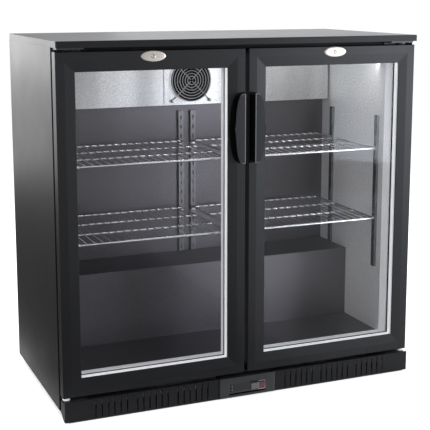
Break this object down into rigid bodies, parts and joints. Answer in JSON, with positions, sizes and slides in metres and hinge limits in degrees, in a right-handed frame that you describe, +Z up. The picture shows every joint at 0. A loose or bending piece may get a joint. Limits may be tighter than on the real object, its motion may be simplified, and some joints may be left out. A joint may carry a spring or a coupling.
{
  "type": "undercounter refrigerator",
  "caption": "Low back bar refrigerator with a flat top, glass swing doors with locks, wire shelves, a fan cooled interior and a vented base.",
  "frame": {"origin": "floor level, in the middle of the width and of the depth, handles and rear spacers included", "axes": "+X to the right seen from the front, +Y towards the back, +Z up"},
  "size_m": [0.9, 0.5, 0.856],
  "materials": {
    "case_black": "satin black",
    "worktop_black": "satin black",
    "galvanised": "galvanised",
    "foam": "rigid foam",
    "liner_aluminium": "stucco embossed",
    "trim_grey": "smooth",
    "zinc": "zinc plated",
    "chrome_wire": "plated wire",
    "fins": "plain",
    "black_plastic": "satin",
    "black_steel": "satin black",
    "lamp_white": "translucent white",
    "copper": "drawn copper",
    "fan_metal": "plain",
    "rubber_black": "matte",
    "red_key": "glossy",
    "grey_key": "glossy",
    "door_black": "satin anodised",
    "door_glass": "clear",
    "spacer_silver": "anodised",
    "gasket_black": "matte",
    "lock_champagne": "brushed",
    "bush_white": "smooth",
    "lock_steel": "polished"
  },
  "bodies": {
    "cabinet": {"left_side_panel": "case_black", "right_side_panel": "case_black", "back_panel": "case_black", "worktop": "worktop_black", "front_rails": "case_black", "base_pan": "galvanised", "machine_bay_panel": "galvanised", "foam_insulation": "foam", "liner_side_walls": "liner_aluminium", "liner_back_and_ceiling": "liner_aluminium", "liner_floor": "liner_aluminium", "breaker_frame": "trim_grey", "centre_mullion": "trim_grey", "shelf_pilasters": "zinc", "shelf_clips": "zinc", "upper_left_shelf": "chrome_wire", "upper_right_shelf": "chrome_wire", "lower_left_shelf": "chrome_wire", "lower_right_shelf": "chrome_wire", "evaporator_cover": "liner_aluminium", "evaporator_coil": "fins", "evaporator_fan_frame": "black_plastic", "evaporator_fan_guard": "black_steel", "cabinet_lamp": "lamp_white", "compressor": "black_steel", "condenser_coil": "black_steel", "condenser_fan_motor": "black_steel", "refrigerant_pipes": "copper", "condensate_drain": "black_plastic", "rear_grille": "black_steel", "rear_spacers": "black_plastic", "cable_gland": "black_plastic", "kick_plate": "black_steel", "controller_housing": "black_plastic", "leveling_feet": "rubber_black", "hinge_brackets": "black_steel", "hinge_pins": "zinc", "case_screws": "zinc"},
    "left_door": {"left_door_frame": "door_black", "left_door_glass": "door_glass", "left_glazing_spacer": "spacer_silver", "left_door_gasket": "gasket_black", "left_door_handle": "door_black", "left_lock_escutcheon": "lock_champagne", "left_door_bushes": "bush_white"},
    "right_door": {"right_door_frame": "door_black", "right_door_glass": "door_glass", "right_glazing_spacer": "spacer_silver", "right_door_gasket": "gasket_black", "right_door_handle": "door_black", "right_lock_escutcheon": "lock_champagne", "right_door_bushes": "bush_white"},
    "left_lock": {"left_lock_cylinder": "lock_steel"},
    "right_lock": {"right_lock_cylinder": "lock_steel"},
    "power_switch": {"power_rocker": "red_key"},
    "lamp_switch": {"lamp_rocker": "grey_key"},
    "up_key": {"up_button": "grey_key"},
    "down_key": {"down_button": "grey_key"},
    "evaporator_fan": {"evaporator_fan_blade": "black_plastic"},
    "condenser_fan": {"condenser_fan_blade": "fan_metal"}
  },
  "joints": [
    {"name": "left_door_hinge", "type": "hinge", "parent": "cabinet", "child": "left_door", "pos_m": [-0.44, -0.217, 0.444], "axis": [0, 0, -1], "range_deg": [0, 110]},
    {"name": "left_lock_turn", "type": "hinge", "parent": "left_door", "child": "left_lock", "pos_m": [-0.228, -0.215, 0.8193], "axis": [0, -1, 0], "range_deg": [0, 90]},
    {"name": "right_door_hinge", "type": "hinge", "parent": "cabinet", "child": "right_door", "pos_m": [0.44, -0.217, 0.444], "axis": [0, 0, 1], "range_deg": [0, 110]},
    {"name": "right_lock_turn", "type": "hinge", "parent": "right_door", "child": "right_lock", "pos_m": [0.228, -0.215, 0.8193], "axis": [0, 1, 0], "range_deg": [0, 90]},
    {"name": "power_rocker_tip", "type": "hinge", "parent": "cabinet", "child": "power_switch", "pos_m": [0.0385, -0.235, 0.023], "axis": [-1, 0, 0], "range_deg": [0, 18]},
    {"name": "lamp_rocker_tip", "type": "hinge", "parent": "cabinet", "child": "lamp_switch", "pos_m": [0.0195, -0.235, 0.023], "axis": [-1, 0, 0], "range_deg": [0, 18]},
    {"name": "up_key_press", "type": "slide", "parent": "cabinet", "child": "up_key", "axis": [0, 1, 0], "range_m": [0, 0.001], "stiffness_N_per_m": 1500},
    {"name": "down_key_press", "type": "slide", "parent": "cabinet", "child": "down_key", "axis": [0, 1, 0], "range_m": [0, 0.001], "stiffness_N_per_m": 1500},
    {"name": "evaporator_fan_spin", "type": "hinge", "parent": "cabinet", "child": "evaporator_fan", "pos_m": [0, 0.138, 0.732], "axis": [0, 1, 0], "continuous": true},
    {"name": "condenser_fan_spin", "type": "hinge", "parent": "cabinet", "child": "condenser_fan", "pos_m": [-0.23, 0.135, 0.124], "axis": [0, 1, 0], "continuous": true}
  ]
}
